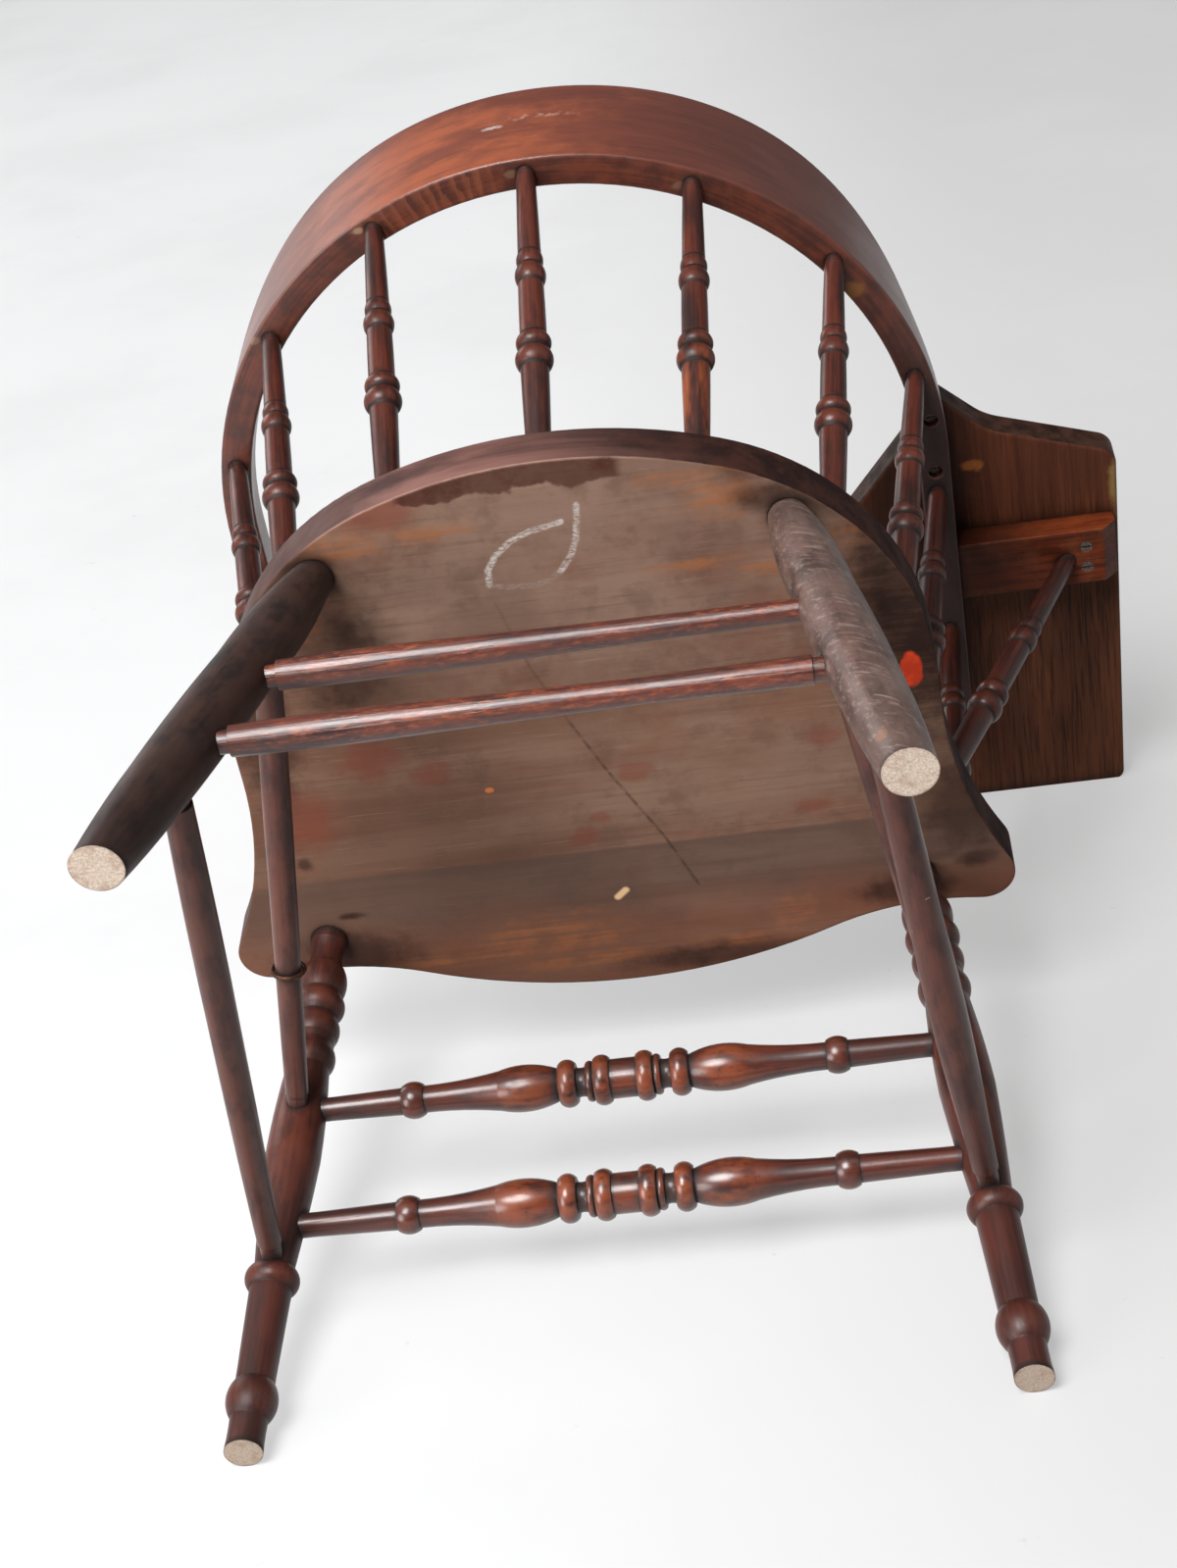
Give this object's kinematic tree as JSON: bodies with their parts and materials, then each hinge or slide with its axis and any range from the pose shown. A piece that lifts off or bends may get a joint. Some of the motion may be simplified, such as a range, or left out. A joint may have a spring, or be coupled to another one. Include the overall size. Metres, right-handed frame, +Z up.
{
  "type": "writing arm windsor chair",
  "caption": "low-back armchair with turned legs, spindles and stretchers, one bent rail that forms arms and crest, and a fixed writing tablet on a brace at the sitter's right",
  "frame": {"origin": "on the floor, below the middle of the footprint of the whole chair, tablet included", "axes": "+Z up; front of the chair (sitter's face) towards -Y; sitter's left hand on +X, tablet on -X"},
  "size_m": [0.6638, 0.614, 0.7837],
  "materials": {
    "seat_wood": "worn dark stain, greyed underneath",
    "rail_wood": "red-brown stain, satin, worn edges",
    "tablet_wood": "dark brown open grain, satin",
    "batten_wood": "red-brown stain, satin",
    "spindle_wood": "dark red-brown stain, satin",
    "back_leg_wood": "dark stain, dull and dusty",
    "front_leg_wood": "dark red-brown stain, satin",
    "front_stretcher_wood": "red-brown stain, glossy, foot wear",
    "plain_stretcher_wood": "red-brown stain, streaky gloss",
    "screw_steel": "aged, slotted heads",
    "loop_wire": "dark, oxidised"
  },
  "bodies": {
    "root": {"seat": "seat_wood", "arm_and_back_rail": "rail_wood", "writing_tablet": "tablet_wood", "tablet_batten": "batten_wood", "tablet_brace": "spindle_wood", "back_leg_left": "back_leg_wood", "back_leg_right": "back_leg_wood", "front_leg_left": "front_leg_wood", "front_leg_right": "front_leg_wood", "front_stretcher_upper": "front_stretcher_wood", "front_stretcher_lower": "front_stretcher_wood", "rear_stretcher_upper": "plain_stretcher_wood", "rear_stretcher_lower": "plain_stretcher_wood", "side_stretcher_left_upper": "plain_stretcher_wood", "side_stretcher_left_lower": "plain_stretcher_wood", "side_stretcher_right_upper": "plain_stretcher_wood", "side_stretcher_right_lower": "plain_stretcher_wood", "arm_screws": "screw_steel", "batten_screws": "screw_steel", "wire_loop": "loop_wire", "back_spindle_centre": "spindle_wood", "back_spindle_inner_left": "spindle_wood", "back_spindle_inner_right": "spindle_wood", "back_spindle_outer_left": "spindle_wood", "back_spindle_outer_right": "spindle_wood", "corner_spindle_left": "spindle_wood", "corner_spindle_right": "spindle_wood", "arm_spindle_left": "spindle_wood", "arm_spindle_right": "spindle_wood", "arm_post_left": "spindle_wood", "arm_post_right": "spindle_wood"}
  },
  "joints": []
}
